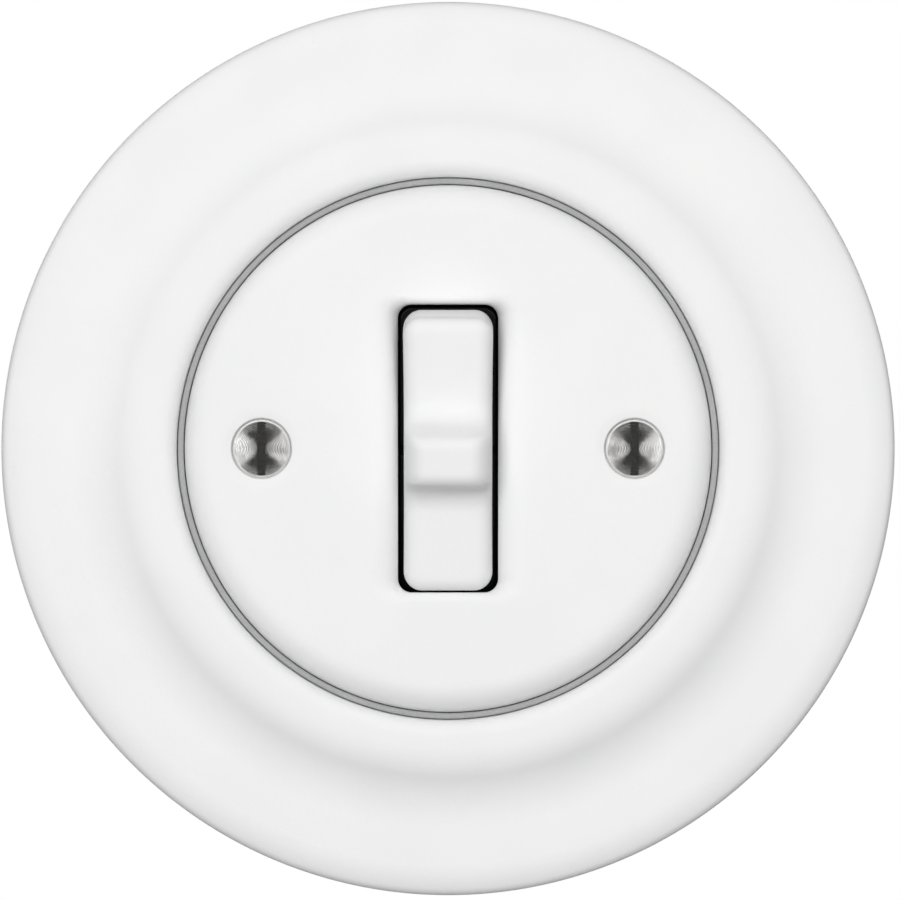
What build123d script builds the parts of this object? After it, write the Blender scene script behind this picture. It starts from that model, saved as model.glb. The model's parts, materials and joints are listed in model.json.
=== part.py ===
from build123d import *
import math
import os

os.makedirs("parts", exist_ok=True)

# A round porcelain rocker switch for a flush wall box.
# +X is right, +Z is up and the wall is the plane y = 0. Heights are measured
# out from the wall, towards -Y, and depths into the wall box, towards +Y.

# Porcelain frame
frame_r = 50.0
frame_rim_round = 1.5
frame_shoulder_round = 5.75
frame_shoulder_slope = 28.0
frame_crown_h = 9.6
frame_crown_in_r = 42.5
frame_cove_mid_r = 36.7
frame_bead_out_r = 33.2
frame_bead_h = 12.6
frame_bead_round = 1.9
frame_opening_r = 30.25
frame_ledge_h = 7.0
frame_ledge_r = 26.5
frame_recess_r = 44.0
frame_recess_h = 3.5
frame_back_round = 0.6

# Cushion ring between the frame's ledge and the cover plate, with a lip that
# stands up in the gap round the plate
cushion_t = 1.2
cushion_in_r = 27.0
cushion_play = 0.08
cushion_lip_h = 10.6

# Porcelain cover plate and the window in it
cover_r = 29.4
cover_h = 13.2
cover_wall = 3.6
cover_rim_wall = 2.2
cover_edge_round = 3.2
window_w = 11.17
window_len = 32.06
window_corner_r = 1.5
window_edge_round = 2.4

# Cover screws, slotted, with a washer in a counterbore
screw_spacing = 41.46
screw_r = 1.5
screw_head_r = 3.0
screw_head_side = 0.5
screw_head_dome = 1.1
screw_slot_w = 0.93
screw_slot_depth = 1.3
screw_hole_play = 0.25
screw_thread_play = 0.05
washer_t = 0.6
washer_play = 0.15
counterbore_r = 3.35
counterbore_depth = 1.3
dimple_r = 4.3
dimple_depth = 0.45

# Rocker key, tilted to one of its two rest positions, and the bar across it
tilt = 9.0
pivot_below_cover = 3.0
rocker_w = 9.92
rocker_end_gap = 0.33
rocker_face_h = 5.5
rocker_bottom_h = 0.6
rocker_corner_r = 2.0
rocker_edge_round = 1.4
bar_h = 4.4
bar_half_base = 4.38
bar_flank_angle = 65.0
bar_root_round = 3.0
bar_tip_round = 1.6
key_pocket_len = 16.2
key_pocket_h = 3.0
key_wall = 1.34

# Carrier that the key sits on, with the stem for the spring and the plunger
carrier_flange_low = -1.2
carrier_side_gap = 0.33
carrier_end_play = 0.28
carrier_corner_r = 1.3
carrier_fit = 0.08
ear_share = 0.53
ear_r = 2.0
ear_side_play = 0.12
ear_slot_play = 0.7
stem_half_w = 1.8
stem_half_z = 2.2
stem_reach = 12.5
spring_bore_r = 1.3
spring_bore_top = 2.2

# Pivot pin
pin_r = 0.8
pin_running = 0.05
pin_end_play = 0.14

# Spring and plunger
plunger_running = 0.05
plunger_reach = 15.5
plunger_back = 9.5
spring_wire_r = 0.18
spring_turns = 8
spring_side_play = 0.12

# Contact lever, bent to a shallow V and rocking on its trunnions
lever_tilt = 7.0
tip_gap = 0.1
lever_arm = 10.4
lever_w = 4.4
lever_t = 1.0
lever_hub_drop = 1.2
trunnion_r = 0.7
trunnion_half = 3.3
trunnion_running = 0.05
contact_at = 8.6
moving_contact_r = 1.5
moving_contact_t = 0.7
contact_gap = 0.05
fixed_contact_r = 1.6
fixed_contact_t = 0.6
contact_shank_r = 0.8

# Brass terminals
strip_t = 1.0
strip_w = 4.4
strip_end = 0.3
cheek_t = 1.0
cheek_play = 0.2
cheek_half_z = 1.9
cheek_wall = 0.8
clamp_w = 6.8
clamp_deep = 6.4
clamp_len = 6.8
clamp_edge_round = 0.5
wire_r = 1.75
wire_bore_len = 5.8
clamp_screw_r = 1.1
clamp_screw_play = 0.02
clamp_screw_len = 3.0
clamp_screw_gap = 0.2
clamp_slot_w = 0.5
clamp_slot_depth = 0.6
clamp_outer_wall = 1.7

# Mechanism housing
housing_half_x = 17.6
housing_half_z = 20.4
housing_depth = 18.0
housing_corner_r = 3.0
lid_t = 2.0
turret_h = 5.4
turret_half_x = 6.6
turret_half_z = 17.0
turret_corner_r = 1.5
turret_wall = 1.4
stem_slot_half_z = 4.8
core_half_x = 4.4
core_near_z = 6.4
pocket_half_x = 4.2
pocket_half_z = 12.4
pocket_play = 0.1
wire_entry_r = 2.6
driver_hole_r = 1.5

# Support plate and its rivets
plate_r = 36.0
plate_t = 1.2
plate_window_play = 0.2
box_screw_spacing = 60.0
box_slot_w = 4.2
box_slot_len = 6.5
burl_r = 2.4
burl_depth = 2.5
rivet_x = 13.0
rivet_z = 16.6
rivet_r = 1.2
rivet_play = 0.05
rivet_head_r = 2.2
rivet_head_t = 0.6
screw_end_depth = 3.0

# How near two places count as one, and how far a face of the key has to look
# outwards to count as its skin, when edges are picked out
pick = 0.01
skin_facing = 0.3

# Worked out from the sizes above
cover_seat_h = frame_ledge_h + cushion_t
cover_under_h = cover_h - cover_wall
seat_h = cover_h - counterbore_depth
head_base_h = seat_h + washer_t
pivot_h = cover_h - pivot_below_cover
rocker_end_r = window_len / 2 - rocker_end_gap
carrier_end_r = window_len / 2 - carrier_end_play
carrier_half_w = window_w / 2 - carrier_side_gap
ear_near_x = stem_half_w + ear_side_play
ear_t = ear_share * (rocker_w / 2 - key_wall - ear_near_x)
ear_far_x = ear_near_x + ear_t
boss_half_w = rocker_w / 2 - key_wall - carrier_fit
plunger_r = spring_bore_r - plunger_running
lever_rise = math.radians(lever_tilt)
lever_top_depth = plunger_reach - pivot_h + (plunger_r + tip_gap) / math.cos(lever_rise)
hub_depth = lever_top_depth + lever_hub_drop
line_clamp_at = housing_half_z - clamp_outer_wall - pocket_play - clamp_deep / 2
common_clamp_at = housing_half_x - clamp_outer_wall - pocket_play - clamp_deep / 2
closed_arm_depth = hub_depth - lever_hub_drop * math.cos(lever_rise) + lever_t
fixed_face_depth = closed_arm_depth + moving_contact_t + contact_gap
strip_depth = fixed_face_depth + fixed_contact_t
floor_depth = strip_depth + strip_t
cheek_near_x = lever_w / 2 + cheek_play
cheek_far_x = cheek_near_x + cheek_t
clamp_end_depth = floor_depth + clamp_len


def front_plane(height):
    """A plane that faces the room, with x to the right and y up."""
    return Plane(origin=(0, -height, 0), x_dir=(1, 0, 0), z_dir=(0, -1, 0))


def side_plane(x):
    """A plane that faces the left side, with height as its x and up as its y."""
    return Plane(origin=(x, 0, 0), x_dir=(0, -1, 0), z_dir=(-1, 0, 0))


section = Plane(origin=(0, 0, 0), x_dir=(1, 0, 0), z_dir=(0, 0, -1))

lean_sin = math.sin(math.radians(tilt))
lean_cos = math.cos(math.radians(tilt))
pivot = Vector(0, -pivot_h, 0)
lean = Vector(0, -lean_cos, -lean_sin)
key_side = Plane(origin=pivot, x_dir=lean, z_dir=(-1, 0, 0))


def key_front(reach):
    """A plane square to the rocker, at a distance from its pivot."""
    return Plane(origin=pivot + lean * reach, x_dir=(1, 0, 0), z_dir=lean)


# The frame: a rim that stands on the wall, a shoulder, a crown, a cove and a bead.
shoulder_sin = math.sin(math.radians(frame_shoulder_slope))
shoulder_cos = math.cos(math.radians(frame_shoulder_slope))
shoulder_out_r = frame_r - frame_rim_round * (1 - shoulder_sin)
shoulder_out_h = frame_crown_h - frame_shoulder_round * (1 - shoulder_cos)
shoulder_in_r = shoulder_out_r - frame_shoulder_round * shoulder_sin
rim_top_h = shoulder_out_h - frame_rim_round * shoulder_cos
cove_share = (frame_bead_h - frame_crown_h) / (frame_crown_in_r - frame_bead_out_r)
cove_mid_h = frame_crown_h + (frame_crown_in_r - frame_cove_mid_r) * cove_share

with BuildPart() as frame_ring:
    with BuildSketch(section):
        with BuildLine():
            foot = Line((frame_recess_r, 0), (frame_r - frame_back_round, 0))
            back = RadiusArc(foot @ 1, (frame_r, frame_back_round), -frame_back_round)
            rim = Line(back @ 1, (frame_r, rim_top_h))
            top = TangentArc(rim @ 1, (shoulder_out_r, shoulder_out_h), tangent=rim % 1)
            shoulder = TangentArc(top @ 1, (shoulder_in_r, frame_crown_h), tangent=top % 1)
            crown = Line(shoulder @ 1, (frame_crown_in_r, frame_crown_h))
            cove = TangentArc(crown @ 1, (frame_cove_mid_r, cove_mid_h), tangent=(-1, 0))
            swell = TangentArc(cove @ 1, (frame_bead_out_r, frame_bead_h), tangent=cove % 1)
            bead = Line(swell @ 1, (frame_opening_r + frame_bead_round, frame_bead_h))
            lip = RadiusArc(bead @ 1, (frame_opening_r, frame_bead_h - frame_bead_round),
                            -frame_bead_round)
            Polyline(lip @ 1, (frame_opening_r, frame_ledge_h), (frame_ledge_r, frame_ledge_h),
                     (frame_ledge_r, frame_recess_h), (frame_recess_r, frame_recess_h), foot @ 0)
        make_face()
    revolve(axis=Axis.Y)
frame_ring.part.label = "frame_ring"

with BuildPart() as cushion_ring:
    with BuildSketch(front_plane(frame_ledge_h)):
        Circle(frame_opening_r - cushion_play)
        Circle(cushion_in_r, mode=Mode.SUBTRACT)
    extrude(amount=cushion_t)
    with BuildSketch(front_plane(cover_seat_h)):
        Circle(frame_opening_r - cushion_play)
        Circle(cover_r + cushion_play, mode=Mode.SUBTRACT)
    extrude(amount=cushion_lip_h - cover_seat_h)
cushion_ring.part.label = "cushion_ring"

# The cover plate: a shallow cup with the rocker's window and two screw seats.
dimple_ball_r = (dimple_r**2 + dimple_depth**2) / (2 * dimple_depth)

with BuildPart() as cover_plate:
    with BuildSketch(section):
        with BuildLine():
            seat = Line((cover_r - cover_rim_wall, cover_seat_h), (cover_r, cover_seat_h))
            wall = Line(seat @ 1, (cover_r, cover_h - cover_edge_round))
            edge = RadiusArc(wall @ 1, (cover_r - cover_edge_round, cover_h), -cover_edge_round)
            Polyline(edge @ 1, (0, cover_h), (0, cover_under_h),
                     (cover_r - cover_rim_wall, cover_under_h), seat @ 0)
        make_face()
    revolve(axis=Axis.Y)
    with BuildSketch(front_plane(cover_under_h)):
        RectangleRounded(window_w, window_len, window_corner_r)
    extrude(amount=cover_wall, mode=Mode.SUBTRACT)
    window_edges = cover_plate.edges(Select.LAST).group_by(Axis.Y)[0]
    fillet(window_edges, window_edge_round)
    with Locations((0, dimple_depth - cover_h - dimple_ball_r, 0)):
        with GridLocations(screw_spacing, 0, 2, 1):
            Sphere(dimple_ball_r, mode=Mode.SUBTRACT)
    with BuildSketch(front_plane(seat_h)):
        with GridLocations(screw_spacing, 0, 2, 1):
            Circle(counterbore_r)
    extrude(amount=counterbore_depth, mode=Mode.SUBTRACT)
    with BuildSketch(front_plane(cover_under_h)):
        with GridLocations(screw_spacing, 0, 2, 1):
            Circle(screw_r + screw_hole_play)
    extrude(amount=cover_wall, mode=Mode.SUBTRACT)
cover_plate.part.label = "cover_plate"

with BuildPart() as screw_washers:
    with BuildSketch(front_plane(seat_h)):
        with GridLocations(screw_spacing, 0, 2, 1):
            Circle(counterbore_r - washer_play)
            Circle(screw_r + screw_hole_play / 2, mode=Mode.SUBTRACT)
    extrude(amount=washer_t)
screw_washers.part.label = "screw_washers"

# Cover screws: a straight shank under a slotted, domed head.
head_edge_h = head_base_h + screw_head_side
head_top_h = head_edge_h + screw_head_dome
screw_dome_r = (screw_head_r**2 + screw_head_dome**2) / (2 * screw_head_dome)

with BuildPart() as screw_form:
    with BuildSketch(section):
        with BuildLine():
            side_line = Polyline((0, -screw_end_depth), (screw_r, -screw_end_depth),
                                 (screw_r, head_base_h), (screw_head_r, head_base_h),
                                 (screw_head_r, head_edge_h))
            RadiusArc(side_line @ 1, (0, head_top_h), -screw_dome_r)
            Line((0, head_top_h), side_line @ 0)
        make_face()
    revolve(axis=Axis.Y)
    with BuildSketch(front_plane(head_top_h)):
        Rectangle(screw_slot_w, 2 * counterbore_r)
    extrude(amount=-screw_slot_depth, mode=Mode.SUBTRACT)

with BuildPart() as cover_screws:
    with GridLocations(screw_spacing, 0, 2, 1):
        add(screw_form.part)
cover_screws.part.label = "cover_screws"

# The rocker key: its end walls are arcs about the pivot, so the gap to the
# window stays the same as it swings. A rounded bar crosses the middle.
flank = math.radians(bar_flank_angle)
bar_half_tip = bar_half_base - bar_h / math.tan(flank)
bar_tip_h = rocker_face_h + bar_h
end_low = math.sqrt(rocker_end_r**2 - rocker_bottom_h**2)
end_high = math.sqrt(rocker_end_r**2 - rocker_face_h**2)

with BuildPart() as rocker:
    with BuildSketch(key_side):
        with BuildLine():
            base = Line((rocker_bottom_h, end_low), (rocker_bottom_h, -end_low))
            low_end = RadiusArc(base @ 1, (rocker_face_h, -end_high), -rocker_end_r)
            profile = Polyline(low_end @ 1, (rocker_face_h, -bar_half_base),
                               (bar_tip_h, -bar_half_tip), (bar_tip_h, bar_half_tip),
                               (rocker_face_h, bar_half_base), (rocker_face_h, end_high))
            RadiusArc(profile @ 1, base @ 0, -rocker_end_r)
        make_face()
        bar_tips = vertices().group_by(Axis.X)[-1]
        fillet(bar_tips, bar_tip_round)
        bar_roots = vertices().filter_by(
            lambda v: abs(v.X - rocker_face_h) < pick and abs(v.Y) < bar_half_base + pick)
        fillet(bar_roots, bar_root_round)
    extrude(amount=rocker_w / 2, both=True)
    corners = edges().filter_by(GeomType.CIRCLE).filter_by(
        lambda e: abs(e.radius - rocker_end_r) < pick)
    fillet(corners, rocker_corner_r)
    skin = faces().filter_by(lambda f: f.normal_at().dot(lean) > skin_facing)
    skin_rim = [e for e in skin.edges() if sum(e in f.edges() for f in skin) == 1]
    fillet(skin_rim, rocker_edge_round)
    with BuildSketch(key_front(rocker_bottom_h)):
        Rectangle(2 * (boss_half_w + carrier_fit), key_pocket_len)
    extrude(amount=key_pocket_h - rocker_bottom_h, mode=Mode.SUBTRACT)
rocker.part.label = "rocker"

# The carrier: a flange under the key, a boss in the key's pocket and a stem.
carrier_low = math.sqrt(carrier_end_r**2 - carrier_flange_low**2)
carrier_high = math.sqrt(carrier_end_r**2 - rocker_bottom_h**2)
boss_top_h = key_pocket_h - carrier_fit
ear_slot_side = 2 * (ear_r + ear_slot_play)
ear_slot_far_x = ear_far_x + ear_side_play

with BuildPart() as rocker_carrier:
    with BuildSketch(key_side):
        with BuildLine():
            under = Line((carrier_flange_low, carrier_low), (carrier_flange_low, -carrier_low))
            low = RadiusArc(under @ 1, (rocker_bottom_h, -carrier_high), -carrier_end_r)
            over = Line(low @ 1, (rocker_bottom_h, carrier_high))
            RadiusArc(over @ 1, under @ 0, -carrier_end_r)
        make_face()
    extrude(amount=carrier_half_w, both=True)
    corners = edges().filter_by(GeomType.CIRCLE)
    fillet(corners, carrier_corner_r)
    with BuildSketch(key_front(rocker_bottom_h)):
        Rectangle(2 * boss_half_w, key_pocket_len - 2 * carrier_fit)
    extrude(amount=boss_top_h - rocker_bottom_h)
    with BuildSketch(key_front(carrier_flange_low)):
        Rectangle(2 * stem_half_w, 2 * stem_half_z)
    extrude(amount=-(stem_reach + carrier_flange_low))
    for slot_x in (ear_slot_far_x, -stem_half_w):
        with BuildSketch(Plane(origin=pivot + Vector(slot_x, 0, 0), x_dir=lean, z_dir=(-1, 0, 0))):
            Rectangle(ear_slot_side, ear_slot_side)
        extrude(amount=ear_slot_far_x - stem_half_w, mode=Mode.SUBTRACT)
    with BuildSketch(key_side):
        Circle(pin_r + pin_running)
    extrude(amount=carrier_half_w, both=True, mode=Mode.SUBTRACT)
    with BuildSketch(key_front(-stem_reach)):
        Circle(spring_bore_r)
    extrude(amount=stem_reach - spring_bore_top, mode=Mode.SUBTRACT)
rocker_carrier.part.label = "rocker_carrier"

with BuildPart() as pivot_pin:
    with BuildSketch(side_plane(0)):
        with Locations((pivot_h, 0)):
            Circle(pin_r)
    extrude(amount=boss_half_w - pin_end_play, both=True)
pivot_pin.part.label = "pivot_pin"

# The plunger rides in the stem's bore and the spring sits behind it.
with BuildPart() as spring_plunger:
    with BuildSketch(key_front(-plunger_reach)):
        Circle(plunger_r)
    extrude(amount=plunger_reach - plunger_back)
    with Locations(pivot - lean * plunger_reach):
        Sphere(plunger_r)
spring_plunger.part.label = "spring_plunger"

spring_len = plunger_back - spring_bore_top - 4 * spring_wire_r
spring_start = pivot - lean * (plunger_back - 2 * spring_wire_r)
with BuildPart() as toggle_spring:
    with BuildLine():
        coil = Helix(spring_len / spring_turns, spring_len,
                     spring_bore_r - spring_side_play - spring_wire_r,
                     center=spring_start, direction=lean)
    with BuildSketch(Plane(origin=coil @ 0, z_dir=coil % 0)):
        Circle(spring_wire_r)
    sweep(path=coil, is_frenet=True)
toggle_spring.part.label = "toggle_spring"

# The contact lever: two arms that fall to a shallow V, on a round trunnion.
rise_sin = math.sin(lever_rise)
rise_cos = math.cos(lever_rise)
arm_out = lever_arm * rise_cos
arm_up = lever_arm * rise_sin
arm_under = lever_hub_drop - lever_t / rise_cos
lever_side = Plane(origin=(0, hub_depth, 0), x_dir=(0, -rise_cos, rise_sin), z_dir=(-1, 0, 0))


def arm_plane(end):
    """The underside of one arm, at its contact, facing the fixed contact."""
    foot_point = Vector(arm_under + contact_at * rise_sin, end * contact_at * rise_cos, 0)
    facing = Vector(-rise_cos, end * rise_sin, 0)
    origin = lever_side.from_local_coords(foot_point)
    return Plane(origin=origin, x_dir=(1, 0, 0),
                 z_dir=lever_side.from_local_coords(facing) - lever_side.origin)


with BuildPart() as contact_rocker:
    with BuildSketch(lever_side):
        with BuildLine():
            Polyline((lever_hub_drop, 0), (lever_hub_drop + arm_up, arm_out),
                     (lever_hub_drop + arm_up - lever_t * rise_cos, arm_out + lever_t * rise_sin),
                     (arm_under, 0), close=True)
        make_face()
        mirror(about=Plane.XZ)
        Rectangle(lever_hub_drop - lever_t / 2, 2 * trunnion_r, align=(Align.MIN, Align.CENTER))
    extrude(amount=lever_w / 2, both=True)
    with BuildSketch(lever_side):
        Circle(trunnion_r)
    extrude(amount=trunnion_half, both=True)
    for end in (1, -1):
        with BuildSketch(arm_plane(end)):
            Circle(contact_shank_r)
        extrude(amount=-lever_t, mode=Mode.SUBTRACT)
contact_rocker.part.label = "contact_rocker"

with BuildPart() as moving_contacts:
    for end in (1, -1):
        with BuildSketch(arm_plane(end)):
            Circle(moving_contact_r)
        extrude(amount=moving_contact_t)
        with BuildSketch(arm_plane(end)):
            Circle(contact_shank_r)
        extrude(amount=-lever_t)
moving_contacts.part.label = "moving_contacts"

# Each fixed contact stands where the moving one lies flat on it.
fixed_z = arm_plane(1).origin.Z

with BuildPart() as fixed_contacts:
    with BuildSketch(front_plane(-strip_depth)):
        with GridLocations(0, 2 * fixed_z, 1, 2):
            Circle(fixed_contact_r)
    extrude(amount=fixed_contact_t)
    with BuildSketch(front_plane(-strip_depth)):
        with GridLocations(0, 2 * fixed_z, 1, 2):
            Circle(contact_shank_r)
    extrude(amount=-strip_t)
fixed_contacts.part.label = "fixed_contacts"

# Brass terminals: a strip under each fixed contact, and the lever's cradle.
strip_near_z = fixed_z - fixed_contact_r - strip_end
strip_far_z = line_clamp_at + clamp_deep / 2

line_terminals = []
for number, end in ((1, 1), (2, -1)):
    with BuildPart() as line_terminal:
        with BuildSketch(front_plane(-floor_depth)):
            with Locations((0, end * (strip_near_z + strip_far_z) / 2)):
                Rectangle(strip_w, strip_far_z - strip_near_z)
            with Locations((0, end * fixed_z)):
                Circle(contact_shank_r, mode=Mode.SUBTRACT)
        extrude(amount=strip_t)
    line_terminal.part.label = f"line_terminal_{number}"
    line_terminals.append(line_terminal.part)

common_far_x = common_clamp_at + clamp_deep / 2
cheek_top_depth = hub_depth - trunnion_r - cheek_wall

with BuildPart() as common_terminal:
    with BuildSketch(front_plane(-floor_depth)):
        with Locations(((common_far_x - cheek_far_x) / 2, 0)):
            Rectangle(common_far_x + cheek_far_x, 2 * cheek_half_z)
    extrude(amount=strip_t)
    with BuildSketch(front_plane(-strip_depth)):
        with GridLocations(cheek_near_x + cheek_far_x, 0, 2, 1):
            Rectangle(cheek_t, 2 * cheek_half_z)
    extrude(amount=strip_depth - cheek_top_depth)
    with BuildSketch(side_plane(0)):
        with Locations((-hub_depth, 0)):
            Circle(trunnion_r + trunnion_running)
    extrude(amount=cheek_far_x, both=True, mode=Mode.SUBTRACT)
common_terminal.part.label = "common_terminal"

# Terminal clamps behind the strips: a wire bore from the rear and a screw
# that comes in from the side of the housing.
clamps = {
    "line_clamp_1": Vector(0, 0, 1) * line_clamp_at,
    "line_clamp_2": Vector(0, 0, -1) * line_clamp_at,
    "common_clamp": Vector(1, 0, 0) * common_clamp_at,
}
clamp_screw_depth = clamp_end_depth - wire_bore_len / 2


def clamp_rear(place, depth):
    """A plane behind a clamp, facing into the wall box, with x outwards."""
    return Plane(origin=place + Vector(0, depth, 0), x_dir=place.normalized(), z_dir=(0, 1, 0))


def clamp_side(place, reach):
    """A plane across a clamp screw, facing outwards."""
    outwards = place.normalized()
    return Plane(origin=place + outwards * reach + Vector(0, clamp_screw_depth, 0),
                 x_dir=(0, 1, 0), z_dir=outwards)


clamp_parts = []
for name, place in clamps.items():
    with BuildPart() as clamp:
        with BuildSketch(clamp_rear(place, clamp_end_depth)):
            Rectangle(clamp_deep, clamp_w)
        extrude(amount=-clamp_len)
        fillet(clamp.edges().filter_by(Axis.Y), clamp_edge_round)
        with BuildSketch(clamp_rear(place, clamp_end_depth)):
            Circle(wire_r)
        extrude(amount=-wire_bore_len, mode=Mode.SUBTRACT)
        with BuildSketch(clamp_side(place, 0)):
            Circle(clamp_screw_r + clamp_screw_play)
        extrude(amount=clamp_deep, mode=Mode.SUBTRACT)
    clamp.part.label = name
    clamp_parts.append(clamp.part)

screw_start = wire_r + clamp_screw_gap

with BuildPart() as clamp_screws:
    for place in clamps.values():
        with BuildSketch(clamp_side(place, screw_start)):
            Circle(clamp_screw_r)
        extrude(amount=clamp_screw_len)
        with BuildSketch(clamp_side(place, screw_start + clamp_screw_len)):
            Rectangle(2 * driver_hole_r, clamp_slot_w)
        extrude(amount=-clamp_slot_depth, mode=Mode.SUBTRACT)
clamp_screws.part.label = "clamp_screws"

# The housing base: one moulded block with a pocket for each metal part.
with BuildPart() as housing_base:
    with BuildSketch(front_plane(-housing_depth)):
        RectangleRounded(2 * housing_half_x, 2 * housing_half_z, housing_corner_r)
    extrude(amount=housing_depth - lid_t)
    with BuildSketch(front_plane(-floor_depth)):
        Rectangle(2 * pocket_half_x, 2 * pocket_half_z)
        with Locations(((common_far_x + pocket_play) / 2, 0)):
            Rectangle(common_far_x + pocket_play, 2 * (cheek_half_z + pocket_play))
        Rectangle(strip_w + 2 * pocket_play, 2 * (strip_far_z + pocket_play))
    extrude(amount=floor_depth - lid_t, mode=Mode.SUBTRACT)
    for place in clamps.values():
        with BuildSketch(clamp_rear(place, clamp_end_depth)):
            Rectangle(clamp_deep + 2 * pocket_play, clamp_w + 2 * pocket_play)
        extrude(amount=lid_t - clamp_end_depth, mode=Mode.SUBTRACT)
        with BuildSketch(clamp_rear(place, clamp_end_depth)):
            Circle(wire_entry_r)
        extrude(amount=housing_depth - clamp_end_depth, mode=Mode.SUBTRACT)
        with BuildSketch(clamp_side(place, clamp_deep / 2)):
            Circle(driver_hole_r)
        extrude(amount=clamp_outer_wall + 2 * pocket_play, mode=Mode.SUBTRACT)
    with BuildSketch(front_plane(-housing_depth)):
        with GridLocations(2 * rivet_x, 2 * rivet_z, 2, 2):
            Circle(rivet_r + rivet_play)
    extrude(amount=housing_depth, mode=Mode.SUBTRACT)
housing_base.part.label = "housing_base"

# The housing cover: a lid with a turret that comes through the support plate
# and carries two ears for the pivot pin inside the carrier.
core_far_z = turret_half_z - turret_wall
ear_foot_h = turret_h / 2

with BuildPart() as housing_cover:
    with BuildSketch(front_plane(-lid_t)):
        RectangleRounded(2 * housing_half_x, 2 * housing_half_z, housing_corner_r)
    extrude(amount=lid_t)
    with BuildSketch(front_plane(0)):
        RectangleRounded(2 * turret_half_x, 2 * turret_half_z, turret_corner_r)
    extrude(amount=turret_h)
    for outer_x in (ear_far_x, -ear_near_x):
        with BuildSketch(side_plane(outer_x)):
            with Locations((pivot_h, 0)):
                Circle(ear_r)
                Rectangle(pivot_h - ear_foot_h, 2 * ear_r, align=(Align.MAX, Align.CENTER))
        extrude(amount=ear_t)
    with BuildSketch(side_plane(0)):
        with Locations((pivot_h, 0)):
            Circle(pin_r)
    extrude(amount=ear_far_x, both=True, mode=Mode.SUBTRACT)
    with BuildSketch(front_plane(-lid_t)):
        Rectangle(2 * ear_near_x, 2 * stem_slot_half_z)
    extrude(amount=lid_t + turret_h, mode=Mode.SUBTRACT)
    with BuildSketch(front_plane(-lid_t)):
        with GridLocations(0, core_near_z + core_far_z, 1, 2):
            Rectangle(2 * core_half_x, core_far_z - core_near_z)
    extrude(amount=lid_t + turret_h - turret_wall, mode=Mode.SUBTRACT)
    with BuildSketch(front_plane(-lid_t)):
        with GridLocations(2 * rivet_x, 2 * rivet_z, 2, 2):
            Circle(rivet_r + rivet_play)
    extrude(amount=lid_t, mode=Mode.SUBTRACT)
housing_cover.part.label = "housing_cover"

# The support plate: a steel disc with slots for the box screws both ways and
# two burled holes for the cover screws.
with BuildPart() as support_plate:
    with BuildSketch(front_plane(0)):
        Circle(plate_r)
    extrude(amount=plate_t)
    with BuildSketch(front_plane(0)):
        with GridLocations(screw_spacing, 0, 2, 1):
            Circle(burl_r)
    extrude(amount=-burl_depth)
    with BuildSketch(front_plane(-burl_depth)):
        with GridLocations(screw_spacing, 0, 2, 1):
            Circle(screw_r + screw_thread_play)
    extrude(amount=burl_depth + plate_t, mode=Mode.SUBTRACT)
    with BuildSketch(front_plane(0)):
        RectangleRounded(2 * (turret_half_x + plate_window_play),
                         2 * (turret_half_z + plate_window_play), turret_corner_r)
        with GridLocations(box_screw_spacing, 0, 2, 1):
            SlotOverall(box_slot_len, box_slot_w)
        with GridLocations(0, box_screw_spacing, 1, 2):
            SlotOverall(box_slot_len, box_slot_w, rotation=90)
        with GridLocations(2 * rivet_x, 2 * rivet_z, 2, 2):
            Circle(rivet_r + rivet_play)
    extrude(amount=plate_t, mode=Mode.SUBTRACT)
support_plate.part.label = "support_plate"

# Four rivets hold the base, its cover and the support plate together.
with BuildPart() as housing_rivets:
    with BuildSketch(front_plane(-housing_depth - rivet_head_t)):
        with GridLocations(2 * rivet_x, 2 * rivet_z, 2, 2):
            Circle(rivet_head_r)
    extrude(amount=rivet_head_t)
    with BuildSketch(front_plane(-housing_depth)):
        with GridLocations(2 * rivet_x, 2 * rivet_z, 2, 2):
            Circle(rivet_r)
    extrude(amount=housing_depth + plate_t)
    with BuildSketch(front_plane(plate_t)):
        with GridLocations(2 * rivet_x, 2 * rivet_z, 2, 2):
            Circle(rivet_head_r)
    extrude(amount=rivet_head_t)
housing_rivets.part.label = "housing_rivets"

built = [
    frame_ring, cushion_ring, cover_plate, screw_washers, cover_screws, rocker, rocker_carrier,
    pivot_pin, spring_plunger, toggle_spring, contact_rocker, moving_contacts, fixed_contacts,
    common_terminal, clamp_screws, housing_base, housing_cover, support_plate, housing_rivets,
]
for piece in [made.part for made in built] + line_terminals + clamp_parts:
    export_step(piece, f"parts/{piece.label}.step")
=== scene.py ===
import json
import math

import bmesh
import bpy
from mathutils import Matrix, Vector
from mathutils.geometry import delaunay_2d_cdt


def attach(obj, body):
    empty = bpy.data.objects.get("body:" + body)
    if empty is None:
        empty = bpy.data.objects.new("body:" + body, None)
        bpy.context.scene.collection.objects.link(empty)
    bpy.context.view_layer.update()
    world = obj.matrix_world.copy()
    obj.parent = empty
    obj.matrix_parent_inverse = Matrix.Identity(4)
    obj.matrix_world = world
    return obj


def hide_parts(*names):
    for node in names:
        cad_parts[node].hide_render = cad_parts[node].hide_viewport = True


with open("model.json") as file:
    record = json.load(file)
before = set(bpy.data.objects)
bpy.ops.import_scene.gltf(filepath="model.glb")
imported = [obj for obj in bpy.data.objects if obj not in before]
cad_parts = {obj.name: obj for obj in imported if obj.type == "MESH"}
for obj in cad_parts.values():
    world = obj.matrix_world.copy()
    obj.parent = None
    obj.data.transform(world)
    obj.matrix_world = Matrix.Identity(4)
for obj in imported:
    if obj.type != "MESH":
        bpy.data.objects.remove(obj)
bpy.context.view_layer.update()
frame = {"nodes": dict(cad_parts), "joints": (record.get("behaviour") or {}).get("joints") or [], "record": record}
mm = 0.001
record = frame["record"]
joints = {joint["name"]: joint for joint in frame["joints"]}
print("frame loaded:", len(frame["nodes"]), "nodes")


# outlines, worked in millimetres

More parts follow.
